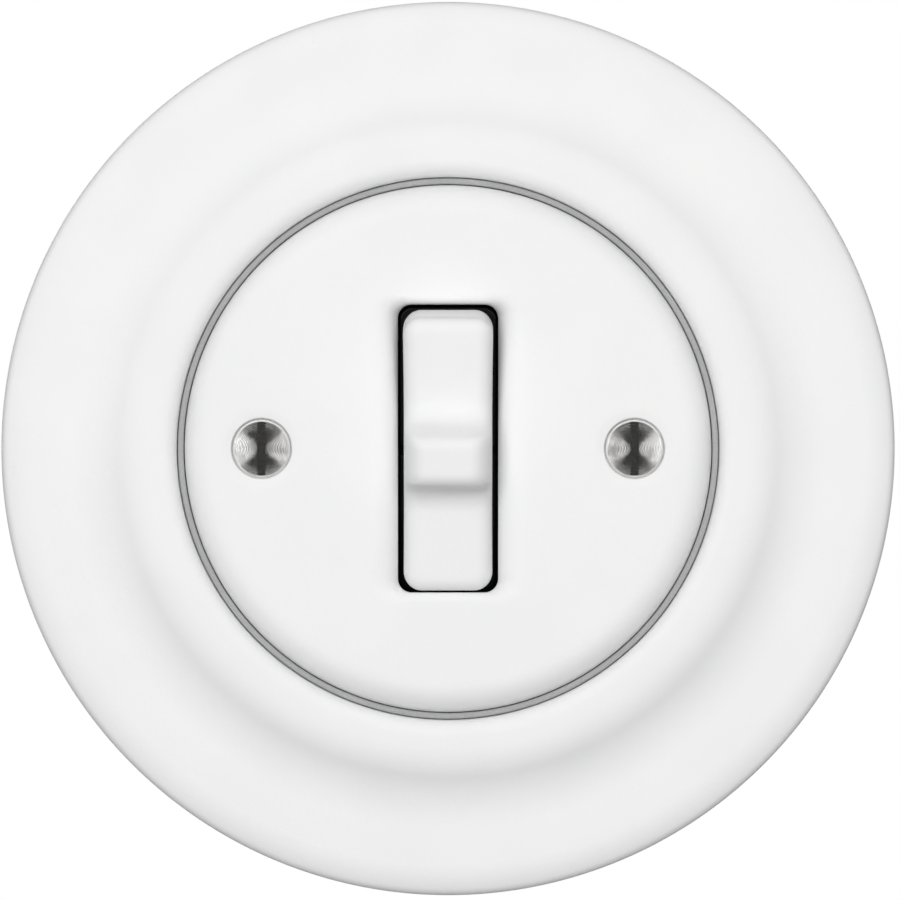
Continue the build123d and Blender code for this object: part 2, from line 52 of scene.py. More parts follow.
def roundedPath(corners, steps=8):
    # a polyline whose corners (x, y, radius) are turned into arcs
    path = []
    for i, (x, y, radius) in enumerate(corners):
        here = Vector((x, y))
        if radius == 0:
            path.append(here)
            continue
        back = (Vector(corners[i - 1][:2]) - here).normalized()
        ahead = (Vector(corners[(i + 1) % len(corners)][:2]) - here).normalized()
        half = back.angle(ahead) / 2
        middle = here + (back + ahead).normalized() * radius / math.sin(half)
        start = here + back * radius / math.tan(half) - middle
        end = here + ahead * radius / math.tan(half) - middle
        turn = math.pi - 2 * half
        for k in range(steps + 1):
            ahead = math.sin(turn * k / steps) / math.sin(turn)
            behind = math.sin(turn * (1 - k / steps)) / math.sin(turn)
            path.append(middle + start * behind + end * ahead)
    return path


def ringPoints(radius, count, middle=(0, 0)):
    angles = [2 * math.pi * k / count for k in range(count)]
    return [(middle[0] + radius * math.cos(a), middle[1] + radius * math.sin(a)) for a in angles]


def boxOutline(halfWidth, halfLength, radius, sideStops, endCount=12, cornerCount=10):
    # points once round a rounded rectangle, with its sides' points at the given stops
    stops = [y for y in sideStops if abs(y) < halfLength - radius - 0.05]
    points = [(halfWidth, y) for y in stops]
    for side, startAngle in ((1, 0), (-1, 90)):
        middle = (side * (halfWidth - radius), halfLength - radius)
        for k in range(cornerCount + 1):
            a = math.radians(startAngle + 90 * k / cornerCount)
            points.append((middle[0] + radius * math.cos(a), middle[1] + radius * math.sin(a)))
        if side == 1:
            span = halfWidth - radius
            points += [(span * (1 - 2 * k / endCount), halfLength) for k in range(1, endCount)]
    return points + [(-x, -y) for x, y in points]


def boxDistance(x, y, halfWidth, halfLength, radius):
    # distance from a rounded rectangle, negative inside it
    dx = abs(x) - halfWidth + radius
    dy = abs(y) - halfLength + radius
    return math.hypot(max(dx, 0), max(dy, 0)) + min(max(dx, dy), 0) - radius


def edgeDrop(distance, radius):
    # how far a rounded edge falls away, this far in from its outline
    inside = radius - min(max(distance, 0), radius)
    return radius - math.sqrt(radius**2 - inside**2)


def roundSteps(radius, count):
    # insets that space the rows of a rounded edge evenly round its arc
    return [radius * (1 - math.cos(math.pi / 2 * k / count)) for k in range(count + 1)]


def onWall(x, y, height):
    # a place in front of the wall: right, up and out from it
    return Vector((x, -height, y))


# meshes

class Shell:
    # collects rows of points and skins them into one closed mesh
    def __init__(self, place=onWall):
        self.mesh = bmesh.new()
        self.place = place

    def row(self, points, height):
        return [self.mesh.verts.new(self.place(x, y, height(x, y) if callable(height) else height))
                for x, y in points]

    def skin(self, rowA, rowB):
        count = len(rowA)
        for i in range(count):
            j = (i + 1) % count
            self.mesh.faces.new((rowA[i], rowA[j], rowB[j], rowB[i]))

    def rows(self, first, *others):
        for other in others:
            self.skin(first, other)
            first = other
        return first

    def fill(self, edgeRows, innerLoops, scattered, height, keep):
        # triangles wherever keep(x, y) holds, sharing the vertices of the edge rows
        flat, edges, made = [], [], []
        for points, verts in edgeRows + [(loop, [None] * len(loop)) for loop in innerLoops]:
            first, count = len(flat), len(points)
            flat += [Vector(point) for point in points]
            made += verts
            edges += [(first + i, first + (i + 1) % count) for i in range(count)]
        flat += [Vector(point) for point in scattered]
        made += [None] * len(scattered)
        spots, _, faces, origins, _, _ = delaunay_2d_cdt(flat, edges, [], 0, 1e-5)
        verts = [next((made[o] for o in origin if made[o] is not None), None) for origin in origins]
        for face in faces:
            middle = sum((spots[i] for i in face), Vector((0, 0))) / len(face)
            if not keep(middle.x, middle.y):
                continue
            for i in face:
                if verts[i] is None:
                    verts[i] = self.mesh.verts.new(self.place(*spots[i], height(*spots[i])))
            self.mesh.faces.new([verts[i] for i in face])

    def lathe(self, profile, count, middle=(0, 0)):
        # turns a closed profile of (radius, height); a radius of 0 closes on the axis
        rings = []
        for radius, height in profile:
            if radius < 1e-6:
                rings.append([self.mesh.verts.new(self.place(*middle, height))])
            else:
                rings.append(self.row(ringPoints(radius, count, middle), height))
        for a, b in zip(rings, rings[1:] + rings[:1]):
            if len(a) == 1 and len(b) == 1:
                continue
            if len(a) == len(b):
                self.skin(a, b)
                continue
            tip, ring = (a[0], b) if len(a) == 1 else (b[0], a)
            for i in range(count):
                self.mesh.faces.new((tip, ring[i], ring[(i + 1) % count]))

    def data(self, name):
        bmesh.ops.recalc_face_normals(self.mesh, faces=self.mesh.faces)
        made = bpy.data.meshes.new(name)
        self.mesh.to_mesh(made)
        self.mesh.free()
        made.transform(Matrix.Scale(mm, 4))
        return made


def dressPiece(name, data, body, replaced, slotName, sharpAngle=40):
    piece = bpy.data.objects.new(name, data)
    bpy.context.scene.collection.objects.link(piece)
    data.materials.append(looks[slotName])
    data.shade_smooth()
    data.set_sharp_from_angle(angle=math.radians(sharpAngle))
    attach(piece, body)
    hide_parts(replaced)
    return piece


# materials

class Wire:
    # a socket that can stand in a sum; every operator adds one Math node
    def __init__(self, look, socket):
        self.look = look
        self.socket = socket

    def out(self, name):
        return Wire(self.look, self.socket.node.outputs[name])

    def maths(self, operation, first, second=0.0):
        return self.look.node("ShaderNodeMath", {"operation": operation}, {0: first, 1: second})

    def __add__(self, other):
        return self.maths("ADD", self, other)

    def __radd__(self, other):
        return self.maths("ADD", other, self)

    def __sub__(self, other):
        return self.maths("SUBTRACT", self, other)

    def __mul__(self, other):
        return self.maths("MULTIPLY", self, other)

    def __abs__(self):
        return self.maths("ABSOLUTE", self)

    def __pow__(self, other):
        return self.maths("POWER", self, other)

    def wave(self):
        return self.maths("SINE", self)


class Look:
    # one material, built node by node
    def __init__(self, name):
        self.material = bpy.data.materials.new(name)
        self.material.use_nodes = True
        self.tree = self.material.node_tree
        self.shader = next(n for n in self.tree.nodes if n.type == "BSDF_PRINCIPLED")
        self.place = self.node("ShaderNodeTexCoord").out("Object")

    def node(self, kind, settings=None, sockets=None):
        made = self.tree.nodes.new(kind)
        for key, value in (settings or {}).items():
            if key == "stops":
                ramp = made.color_ramp
                for stop, (position, shade) in zip((ramp.elements[0], ramp.elements[1]), value):
                    stop.position = position
                    stop.color = (shade, shade, shade, 1)
            else:
                setattr(made, key, value)
        for key, value in (sockets or {}).items():
            self.feed(made.inputs[key], value)
        return Wire(self, made.outputs[0])

    def feed(self, socket, value):
        if isinstance(value, Wire):
            self.tree.links.new(value.socket, socket)
        else:
            socket.default_value = value

    def speckle(self, size, detail=2.0, stretch=(1, 1, 1)):
        # noise with features about this many millimetres across
        where = self.node("ShaderNodeVectorMath", {"operation": "MULTIPLY"},
                          {0: self.place, 1: [s / (size * mm) for s in stretch]})
        return self.node("ShaderNodeTexNoise", {},
                         {"Vector": where, "Scale": 1.0, "Detail": detail})

    def mask(self, source, low, high):
        return self.node("ShaderNodeValToRGB", {"stops": ((low, 0.0), (high, 1.0))}, {0: source})

    def blend(self, amount, first, second):
        return self.node("ShaderNodeMix", {"data_type": "RGBA"},
                         {0: amount, 6: (*first, 1) if isinstance(first, tuple) else first,
                          7: (*second, 1) if isinstance(second, tuple) else second}).out(2)

    def bump(self, height, depth, strength=1.0, under=None):
        sockets = {"Height": height, "Distance": depth * mm, "Strength": strength}
        if under:
            sockets["Normal"] = under
        return self.node("ShaderNodeBump", {}, sockets)

    def surface(self, sockets):
        for key, value in sockets.items():
            self.feed(self.shader.inputs[key], value)
        return self.material


# white porcelain with a satin glaze
porcelain = {
    "white": (0.90, 0.90, 0.898), "shade": (0.886, 0.887, 0.887), "roughness": 0.50,
    "pebbleSize": 0.42, "pebbleDepth": 0.012, "rippleSize": 9.0, "rippleDepth": 0.016,
    "pinholeSize": 1.6, "pinholeDepth": 0.012, "gloss": 0.22,
}


def porcelainLook():
    look = Look("satinPorcelain")
    pebbles = look.speckle(porcelain["pebbleSize"], detail=3.0)
    ripples = look.speckle(porcelain["rippleSize"], detail=1.0)
    pinholes = look.mask(look.speckle(porcelain["pinholeSize"], detail=0.0), 0.18, 0.26)
    tint = look.blend(look.mask(ripples + (pebbles - 0.5) * 0.5, 0.35, 0.65),
                      porcelain["shade"], porcelain["white"])
    normal = look.bump(ripples, porcelain["rippleDepth"])
    normal = look.bump(pinholes, porcelain["pinholeDepth"], under=normal)
    normal = look.bump(pebbles, porcelain["pebbleDepth"], under=normal)
    return look.surface({
        "Base Color": tint, "Roughness": porcelain["roughness"] + (pebbles - 0.5) * 0.12,
        "Normal": normal, "Specular IOR Level": porcelain["gloss"]})


# moulded plastics and rubber: colours, grain size and depth in mm, and flecks of filler
mouldings = {
    "blackMoulding": {"colour": (0.004, 0.004, 0.004), "fleck": (0.010, 0.010, 0.010),
                      "grain": 0.25, "depth": 0.006, "roughness": 0.62, "gloss": 0.18,
                      "share": 0.62},
    "thermosetMoulding": {"colour": (0.045, 0.045, 0.048), "fleck": (0.13, 0.13, 0.135),
                          "grain": 0.35, "depth": 0.010, "roughness": 0.48, "gloss": 0.45,
                          "share": 0.64},
    # grey of the cushion ring: partly painted shade, the tone of the shadowed groove round the cover plate, laid
    # on a real silicone ring
    "grooveShadeSilicone": {"colour": (0.36, 0.362, 0.365), "fleck": (0.42, 0.422, 0.425),
                     "grain": 0.18, "depth": 0.006, "roughness": 0.75, "gloss": 0.25,
                     "share": 0.55},
    "naturalNylon": {"colour": (0.82, 0.82, 0.80), "fleck": (0.88, 0.88, 0.86),
                     "grain": 0.30, "depth": 0.004, "roughness": 0.38, "gloss": 0.5, "share": 0.55},
}


def mouldedLook(name):
    spec = mouldings[name]
    look = Look(name)
    grain = look.speckle(spec["grain"], detail=3.0)
    flow = look.speckle(spec["grain"] * 18, detail=1.0, stretch=(1, 1, 0.35))
    flecks = look.mask(grain * 0.7 + flow * 0.3, spec["share"] - 0.1, spec["share"] + 0.1)
    return look.surface({
        "Base Color": look.blend(flecks, spec["colour"], spec["fleck"]),
        "Roughness": spec["roughness"] + (flow - 0.5) * 0.2,
        "Normal": look.bump(grain, spec["depth"]), "Specular IOR Level": spec["gloss"]})


# metals: colours, drawn lines (length, width and depth in mm) and patches of tarnish
metals = {
    "brightSteel": {"colour": (0.62, 0.62, 0.63), "dull": (0.40, 0.40, 0.41), "patch": 2.2,
                    "lines": (6.0, 0.10), "depth": 0.003, "roughness": 0.28},
    "springWire": {"colour": (0.42, 0.41, 0.40), "dull": (0.24, 0.23, 0.22), "patch": 1.5,
                   "lines": (2.0, 0.06), "depth": 0.002, "roughness": 0.34},
    "zincPlate": {"colour": (0.60, 0.62, 0.65), "dull": (0.42, 0.44, 0.46), "patch": 5.0,
                  "lines": (9.0, 0.22), "depth": 0.004, "roughness": 0.42},
    "bronzeStrip": {"colour": (0.66, 0.39, 0.22), "dull": (0.42, 0.23, 0.13), "patch": 2.5,
                    "lines": (5.0, 0.10), "depth": 0.003, "roughness": 0.34},
    "silverFace": {"colour": (0.86, 0.85, 0.82), "dull": (0.58, 0.55, 0.50), "patch": 1.0,
                   "lines": (0.8, 0.20), "depth": 0.004, "roughness": 0.30},
    "cutBrass": {"colour": (0.74, 0.56, 0.24), "dull": (0.52, 0.37, 0.14), "patch": 3.0,
                 "lines": (4.0, 0.12), "depth": 0.005, "roughness": 0.32},
}


def metalLook(name):
    spec = metals[name]
    look = Look(name)
    length, width = spec["lines"]
    lines = look.speckle(width, detail=2.0, stretch=(width / length, 1, 1))
    patches = look.mask(look.speckle(spec["patch"], detail=4.0), 0.42, 0.66)
    return look.surface({
        "Base Color": look.blend(patches * 0.6 + (lines - 0.5) * 0.3, spec["colour"], spec["dull"]),
        "Metallic": 1.0, "Roughness": spec["roughness"] + patches * 0.18 + (lines - 0.5) * 0.15,
        "Normal": look.bump(lines, spec["depth"])})


# nickel-plated screw heads with fine turned rings round each axis
turned = {
    "bright": (0.80, 0.795, 0.78), "dull": (0.56, 0.55, 0.53), "axisX": 20.73,
    "ringPitch": 0.17, "ringDepth": 0.010, "roughness": 0.22,
}


def turnedLook():
    look = Look("turnedNickel")
    axes = look.node("ShaderNodeSeparateXYZ", {}, {0: look.place})
    side = abs(axes.out("X")) - turned["axisX"] * mm
    radius = (side * side + axes.out("Z") * axes.out("Z")) ** 0.5
    wander = look.speckle(0.5, detail=2.0)
    rings = (radius * (2 * math.pi / (turned["ringPitch"] * mm)) + wander * 5.0).wave()
    wear = look.mask(look.speckle(1.3, detail=4.0), 0.40, 0.70)
    return look.surface({
        "Base Color": look.blend(wear, turned["bright"], turned["dull"]), "Metallic": 1.0,
        "Roughness": turned["roughness"] + wear * 0.12 + rings * 0.03,
        "Normal": look.bump(rings + wander, turned["ringDepth"])})


looks = {
    "porcelain": porcelainLook(), "nickel_steel": turnedLook(),
    "silicone": mouldedLook("grooveShadeSilicone"), "nylon": mouldedLook("naturalNylon"),
    "black_plastic": mouldedLook("blackMoulding"),
    "grey_thermoset": mouldedLook("thermosetMoulding"),
    "bright_steel": metalLook("brightSteel"), "spring_steel": metalLook("springWire"),
    "zinc_steel": metalLook("zincPlate"), "copper_alloy": metalLook("bronzeStrip"),
    "silver": metalLook("silverFace"), "brass": metalLook("cutBrass"),
}
print("finishes made:", len(looks))


# the porcelain frame: a rim on the wall, a flat crown, a cove and a round bead
ring = {
    "radius": 49.98, "rimRound": 1.5, "shoulderRound": 5.75, "shoulderSlope": 28.0,
    "crownHeight": 9.6, "crownInner": 42.5, "coveMiddle": 36.7, "beadOuter": 33.2,
    "beadHeight": 12.6, "beadRound": 1.9,
    "opening": 30.25, "ledgeHeight": 7.0, "ledgeInner": 26.5, "recess": 44.0,
    "recessHeight": 3.5, "backRound": 0.6, "segments": 320,
}


def coveProfile():
    # two arcs that meet with one slope: hollow outside, crowned inside
    outer = ring["crownInner"] - ring["coveMiddle"]
    inner = ring["coveMiddle"] - ring["beadOuter"]
    rise = ring["beadHeight"] - ring["crownHeight"]
    outerRise = rise * outer / (outer + inner)
    hollow = (outer**2 + outerRise**2) / (2 * outerRise)
    swell = (inner**2 + (rise - outerRise)**2) / (2 * (rise - outerRise))
    points = []
    for k in range(15):
        x = outer * k / 14
        points.append((ring["crownInner"] - x,
                       ring["crownHeight"] + hollow - math.sqrt(hollow**2 - x**2)))
    for k in range(1, 11):
        x = inner * (1 - k / 10)
        points.append((ring["beadOuter"] + x,
                       ring["beadHeight"] - swell + math.sqrt(swell**2 - x**2)))
    return points


def rimProfile():
    # a tight round at the rim that runs into a long, soft shoulder
    slope = math.radians(ring["shoulderSlope"])
    rim, shoulder = ring["rimRound"], ring["shoulderRound"]
    joinRadius = ring["radius"] - rim * (1 - math.sin(slope))
    joinHeight = ring["crownHeight"] - shoulder * (1 - math.cos(slope))
    points = []
    for k in range(15):
        a = math.pi / 2 + (slope - math.pi / 2) * k / 14
        points.append((joinRadius + rim * (math.sin(a) - math.sin(slope)),
                       joinHeight + rim * (math.cos(a) - math.cos(slope))))
    for k in range(1, 13):
        a = slope * (1 - k / 12)
        points.append((joinRadius + shoulder * (math.sin(a) - math.sin(slope)),
                       joinHeight + shoulder * (math.cos(a) - math.cos(slope))))
    return points


def makeFrameRing():
    corners = [
        (ring["beadOuter"] - 0.5, ring["beadHeight"], 0),
        (ring["opening"], ring["beadHeight"], ring["beadRound"] - 0.01),
        (ring["opening"], ring["ledgeHeight"], 0.25),
        (ring["ledgeInner"], ring["ledgeHeight"], 0.3),
        (ring["ledgeInner"], ring["recessHeight"], 0.3),
        (ring["recess"], ring["recessHeight"], 0.4), (ring["recess"], 0, 0.3),
        (ring["radius"], 0, ring["backRound"])]
    corners += [(*point, 0) for point in rimProfile() + coveProfile()]
    shell = Shell()
    shell.lathe(roundedPath(corners, steps=14), ring["segments"])
    return dressPiece("frameRing", shell.data("frameRing"), "base", "frame_ring", "porcelain")


# silicone cushion under the cover plate; its lip rises into the groove so its grey shows there as painted shade of
# the groove
cushion = {"inner": 27.0, "outer": 30.17, "lipInner": 29.48, "low": 7.0, "high": 8.2,
           "lipHeight": 10.6, "round": 0.25}


def makeCushionRing():
    profile = roundedPath([
        (cushion["inner"], cushion["low"], cushion["round"]),
        (cushion["outer"], cushion["low"], cushion["round"]),
        (cushion["outer"], cushion["lipHeight"], cushion["round"]),
        (cushion["lipInner"], cushion["lipHeight"], cushion["round"]),
        (cushion["lipInner"], cushion["high"], 0),
        (cushion["inner"], cushion["high"], cushion["round"])], steps=4)
    shell = Shell()
    shell.lathe(profile, ring["segments"])
    return dressPiece("cushionRing", shell.data("cushionRing"), "base", "cushion_ring", "silicone")


# the porcelain cover plate with its window and two dimpled screw seats
plate = {
    "radius": 29.4, "height": 13.2, "edgeRound": 3.2, "seatHeight": 8.2, "underHeight": 9.6,
    "rimWall": 2.2, "halfWidth": 5.585, "halfLength": 16.03, "corner": 1.5, "windowRound": 3.5,
    "windowEndRound": 1.1, "lipShare": 0.07,
    "screwX": 20.73, "boreRadius": 3.35, "boreFloor": 11.9, "boreRound": 0.16,
    "holeRadius": 1.75, "dimpleRadius": 4.3, "dimpleDepth": 0.45, "dimpleSoftness": 0.05,
    "gridStep": 1.1, "segments": 288, "boreSegments": 96, "sideStops": 24,
    "boreInsets": (0.35, 0.6, 0.8, 0.9, 1.0, 1.15, 1.5, 2.2), "seatEase": 0.3, "footEase": 0.15,
}
screwSpots = ((plate["screwX"], 0), (-plate["screwX"], 0))


def windowDistance(x, y):
    return boxDistance(x, y, plate["halfWidth"], plate["halfLength"], plate["corner"])


def screwDistance(x, y):
    return math.hypot(abs(x) - plate["screwX"], y)


def windowRound(x, y):
    # a wide roll beside the key and a tight one above and below it
    across = max(abs(x) - plate["halfWidth"] + plate["corner"], 0)
    along = max(abs(y) - plate["halfLength"] + plate["corner"], 0)
    share = math.atan2(across, along) / (math.pi / 2) if across + along > 0 else 1
    share = share * share * (3 - 2 * share)
    return plate["windowEndRound"] + (plate["windowRound"] - plate["windowEndRound"]) * share


def plateHeight(x, y):
    height = plate["height"] - edgeDrop(plate["radius"] - math.hypot(x, y), plate["edgeRound"])
    roll = windowRound(x, y)
    height -= edgeDrop(windowDistance(x, y) + roll * plate["lipShare"], roll)
    away = screwDistance(x, y)
    if away < 2 * plate["dimpleRadius"]:
        bowl = plate["dimpleDepth"] * (1 - (away / plate["dimpleRadius"])**2)
        height -= (bowl + math.hypot(bowl, plate["dimpleSoftness"])) / 2
        height -= edgeDrop(away - plate["boreRadius"], plate["boreRound"])
    return height


def plateGrid(reach, windowGap, screwGap):
    count = int(reach / plate["gridStep"]) + 1
    spots = []
    for i in range(-count, count + 1):
        for j in range(-count, count + 1):
            x = (i + 0.5 * (j % 2)) * plate["gridStep"]
            y = j * plate["gridStep"] * 0.866
            if (math.hypot(x, y) < reach and windowDistance(x, y) > windowGap
                    and screwDistance(x, y) > screwGap):
                spots.append((x, y))
    return spots


def windowOutline(offset):
    count = plate["sideStops"]
    stops = [plate["halfLength"] * k / count for k in range(-count, count + 1)]
    return boxOutline(plate["halfWidth"] + offset, plate["halfLength"] + offset,
                      plate["corner"] + offset, stops)


def makeCoverPlate():
    shell = Shell()
    rim = ringPoints(plate["radius"], plate["segments"])
    window = windowOutline(0)
    rimRow = shell.row(rim, plateHeight)
    windowRow = shell.row(window, plateHeight)
    bores = [ringPoints(plate["boreRadius"], plate["boreSegments"], spot) for spot in screwSpots]
    boreRows = [shell.row(bore, plateHeight) for bore in bores]
    loops = [ringPoints(plate["radius"] - inset, plate["segments"])
             for inset in roundSteps(plate["edgeRound"], 12)[1:]]
    loops += [windowOutline(inset) for inset in roundSteps(plate["windowRound"], 14)[1:]]
    boreInsets = roundSteps(plate["boreRound"], 4)[1:] + list(plate["boreInsets"])
    loops += [ringPoints(plate["boreRadius"] + inset, plate["boreSegments"], spot)
              for inset in boreInsets for spot in screwSpots]
    shell.fill([(rim, rimRow), (window, windowRow)] + list(zip(bores, boreRows)), loops,
               plateGrid(plate["radius"] - 3.8, 3.8, 6.2), plateHeight,
               lambda x, y: windowDistance(x, y) > 0 and screwDistance(x, y) > plate["boreRadius"])

    innerRadius = plate["radius"] - plate["rimWall"]
    under, seat, ease = plate["underHeight"], plate["seatHeight"], plate["seatEase"]
    innerRim = ringPoints(innerRadius, plate["segments"])
    rimEnd = shell.rows(
        rimRow, shell.row(rim, seat + ease),
        shell.row(ringPoints(plate["radius"] - ease, plate["segments"]), seat),
        shell.row(ringPoints(innerRadius + ease, plate["segments"]), seat),
        shell.row(innerRim, seat + ease), shell.row(innerRim, under))
    foot = plate["footEase"]
    windowFoot = windowOutline(foot)
    windowEnd = shell.rows(windowRow, shell.row(window, under + foot), shell.row(windowFoot, under))
    edgeRows = [(innerRim, rimEnd), (windowFoot, windowEnd)]
    for spot, bore, boreRow in zip(screwSpots, bores, boreRows):
        hole = ringPoints(plate["holeRadius"], plate["boreSegments"], spot)
        holeEnd = shell.rows(boreRow, shell.row(bore, plate["boreFloor"]),
                             shell.row(hole, plate["boreFloor"]), shell.row(hole, under))
        edgeRows.append((hole, holeEnd))
    shell.fill(edgeRows, [], plateGrid(innerRadius - 0.8, 0.9, 2.6), lambda x, y: under,
               lambda x, y: (math.hypot(x, y) < innerRadius and windowDistance(x, y) > foot
                             and screwDistance(x, y) > plate["holeRadius"]))
    return dressPiece("coverPlate", shell.data("coverPlate"), "base", "cover_plate",
                      "porcelain", 50)


# the rocker key in its own tilted frame: across, along, and out from the pivot
key = {
    "tilt": 9.0, "endRadius": 15.7, "faceHeight": 5.5, "bottomHeight": 0.6, "corner": 2.0,
    "edgeRound": 1.8, "barEdgeRound": 2.6, "barHeight": 4.4, "barHalfBase": 4.38,
    "arcStart": 8.0, "widest": 5.0, "evenStops": 64, "barStep": 0.3, "acrossStep": 0.42,
    "acrossCount": 6, "clearOfEdge": 0.35, "wallShares": (0.2, 0.4, 0.6, 0.8, 1.0),
    "flankAngle": 65.0, "rootRound": 3.0, "tipRound": 1.6, "halfAtTop": 5.03,
    "halfAtMiddle": 4.89, "halfAtBottom": 4.95, "pillowReach": 2.4, "pillowDrop": 0.9,
}
pivot = Vector(joints["rocker_swing"]["pos_m"]) / mm
leanAngle = math.radians(key["tilt"])
leanOut = Vector((0, -math.cos(leanAngle), -math.sin(leanAngle)))
leanUp = Vector((0, -math.sin(leanAngle), math.cos(leanAngle)))
keyLength = math.sqrt(key["endRadius"]**2 - (key["faceHeight"] - key["edgeRound"])**2)


def keyPlace(x, along, out):
    # the end walls follow an arc about the pivot
    start = key["arcStart"]
    share = min(max((abs(along) - start) / (keyLength - start), 0), 1)
    level = min(out, key["faceHeight"])
    shift = math.sqrt(key["endRadius"]**2 - level**2) - keyLength
    along += math.copysign(shift * share**2, along)
    return pivot + Vector((x, 0, 0)) + leanUp * along + leanOut * out


def keyProfile():
    slope = key["barHeight"] / math.tan(math.radians(key["flankAngle"]))
    tip = key["faceHeight"] + key["barHeight"]
    return roundedPath([
        (-20, key["faceHeight"], 0), (-key["barHalfBase"], key["faceHeight"], key["rootRound"]),
        (slope - key["barHalfBase"], tip, key["tipRound"]),
        (key["barHalfBase"] - slope, tip, key["tipRound"]),
        (key["barHalfBase"], key["faceHeight"], key["rootRound"]),
        (20, key["faceHeight"], 0)], steps=12)


def keyStops(path):
    # places along the key for its rows: every point of the bar, and even steps elsewhere
    count = key["evenStops"]
    stops = [-keyLength + 2 * keyLength * k / count for k in range(count + 1)]
    bar = [point.x for point in path[1:-1]]
    stops = [s for s in stops if s < bar[0] - 0.2 or s > bar[-1] + 0.2] + bar
    for a, b in zip(bar, bar[1:]):
        parts = int((b - a) / key["barStep"])
        stops += [a + (b - a) * k / (parts + 1) for k in range(1, parts + 1)]
    return sorted(stops)


def makeRocker():
    path = keyProfile()
    stops = keyStops(path)

    def crest(along):
        for a, b in zip(path, path[1:]):
            if a.x <= along <= b.x:
                return a.y + (b.y - a.y) * (along - a.x) / max(b.x - a.x, 1e-9)
        return key["faceHeight"]

    def halfWidth(along):
        end = key["halfAtTop"] if along > 0 else key["halfAtBottom"]
        return key["halfAtMiddle"] + (end - key["halfAtMiddle"]) * (along / keyLength)**2

    def edgeRound(along):
        share = (crest(along) - key["faceHeight"]) / key["barHeight"]
        return key["edgeRound"] + (key["barEdgeRound"] - key["edgeRound"]) * min(share, 1)

    def inset(x, along):
        widest = halfWidth(along)
        return -boxDistance(x, along, widest, keyLength, key["corner"])

    def height(x, along):
        # the bar's ends sink a little, which rounds it like a pillow
        share = max(1 - inset(x, along) / key["pillowReach"], 0)
        rise = (crest(along) - key["faceHeight"]) / key["barHeight"]
        sunk = key["pillowDrop"] * share**2 * rise
        return crest(along) - sunk - edgeDrop(inset(x, along), edgeRound(along))

    def outline(step):
        # side points keep their place along the key, so the bar's rows run straight across
        corner = max(key["corner"] - step, 0.25)
        straight = [s for s in stops if abs(s) < keyLength - key["corner"] - 0.1]
        wide = key["widest"] - step
        base = boxOutline(wide, keyLength - step, corner, straight)
        return [(x * (halfWidth(y) - step) / wide, y) for x, y in base]

    shell = Shell(keyPlace)
    edge = outline(0)
    top = shell.row(edge, height)
    steps = roundSteps(key["barEdgeRound"], 12)[1:]
    reach = key["acrossCount"]
    across = [x * key["acrossStep"] for x in range(-reach, reach + 1)]
    inner = keyLength - key["barEdgeRound"] - key["clearOfEdge"]
    scattered = [(x, s) for s in stops if abs(s) < inner for x in across]
    shell.fill([(edge, top)], [outline(s) for s in steps], scattered, height,
               lambda x, y: inset(x, y) > 0)
    walls = []
    for share in key["wallShares"]:
        walls.append([shell.mesh.verts.new(keyPlace(
            x, y, height(x, y) + (key["bottomHeight"] - height(x, y)) * share)) for x, y in edge])
    foot = shell.rows(top, *walls)
    shell.fill([(edge, foot)], [], [], lambda x, y: key["bottomHeight"],
               lambda x, y: inset(x, y) > 0)
    return dressPiece("rockerKey", shell.data("rockerKey"), "rocker", "rocker", "porcelain", 60)


# slotted cover screws
screw = {
    "headRadius": 3.0, "base": 12.5, "side": 0.5, "dome": 1.1, "shankRadius": 1.5,
    "shankEnd": -3.0, "slotWidth": 0.93, "slotDepth": 1.3, "edgeBevel": 0.07, "segments": 128,
}


def headProfile():
    radius, dome = screw["headRadius"], screw["dome"]
    ball = (radius**2 + dome**2) / (2 * dome)
    edge = screw["base"] + screw["side"]
    points = [(0, screw["shankEnd"]), (screw["shankRadius"] - 0.2, screw["shankEnd"]),
              (screw["shankRadius"], screw["shankEnd"] + 0.2),
              (screw["shankRadius"], screw["base"]),
              (radius - 0.1, screw["base"]), (radius, screw["base"] + 0.1)]
    widest = math.asin(radius / ball)
    for k in range(25):
        a = widest * (1 - k / 24)
        points.append((ball * math.sin(a) if k < 24 else 0, edge + dome - ball * (1 - math.cos(a))))
    return points


def makeScrew(name, spot):
    shell = Shell()
    shell.lathe(headProfile(), screw["segments"], spot)
    blank = bpy.data.objects.new(name + "Blank", shell.data(name + "Blank"))
    top = screw["base"] + screw["side"] + screw["dome"]
    cutter = Shell()
    wide, tall = screw["slotWidth"] / 2, 2 * screw["headRadius"]
    corners = [(spot[0] - wide, -tall), (spot[0] + wide, -tall),
               (spot[0] + wide, tall), (spot[0] - wide, tall)]
    low = cutter.row(corners, top - screw["slotDepth"])
    high = cutter.row(corners, top + 1)
    cutter.skin(low, high)
    cutter.mesh.faces.new(low)
    cutter.mesh.faces.new(high)
    knife = bpy.data.objects.new(name + "Knife", cutter.data(name + "Knife"))
    for thing in (blank, knife):
        bpy.context.scene.collection.objects.link(thing)
    cut = blank.modifiers.new("slot", "BOOLEAN")
    cut.object, cut.operation, cut.solver = knife, "DIFFERENCE", "EXACT"
    bevel = blank.modifiers.new("edges", "BEVEL")
    bevel.width, bevel.segments = screw["edgeBevel"] * mm, 3
    bevel.limit_method, bevel.angle_limit = "ANGLE", math.radians(35)
    bevel.use_clamp_overlap = True
    done = blank.evaluated_get(bpy.context.evaluated_depsgraph_get())
    data = bpy.data.meshes.new_from_object(done)
    for thing in (blank, knife):
        bpy.data.objects.remove(thing)
    data.materials.clear()
    return dressPiece(name, data, "base", "cover_screws", "nickel_steel", 40)


makeFrameRing()
makeCushionRing()
makeCoverPlate()
makeRocker()
makeScrew("coverScrewRight", screwSpots[0])
makeScrew("coverScrewLeft", screwSpots[1])
print("visible pieces made")


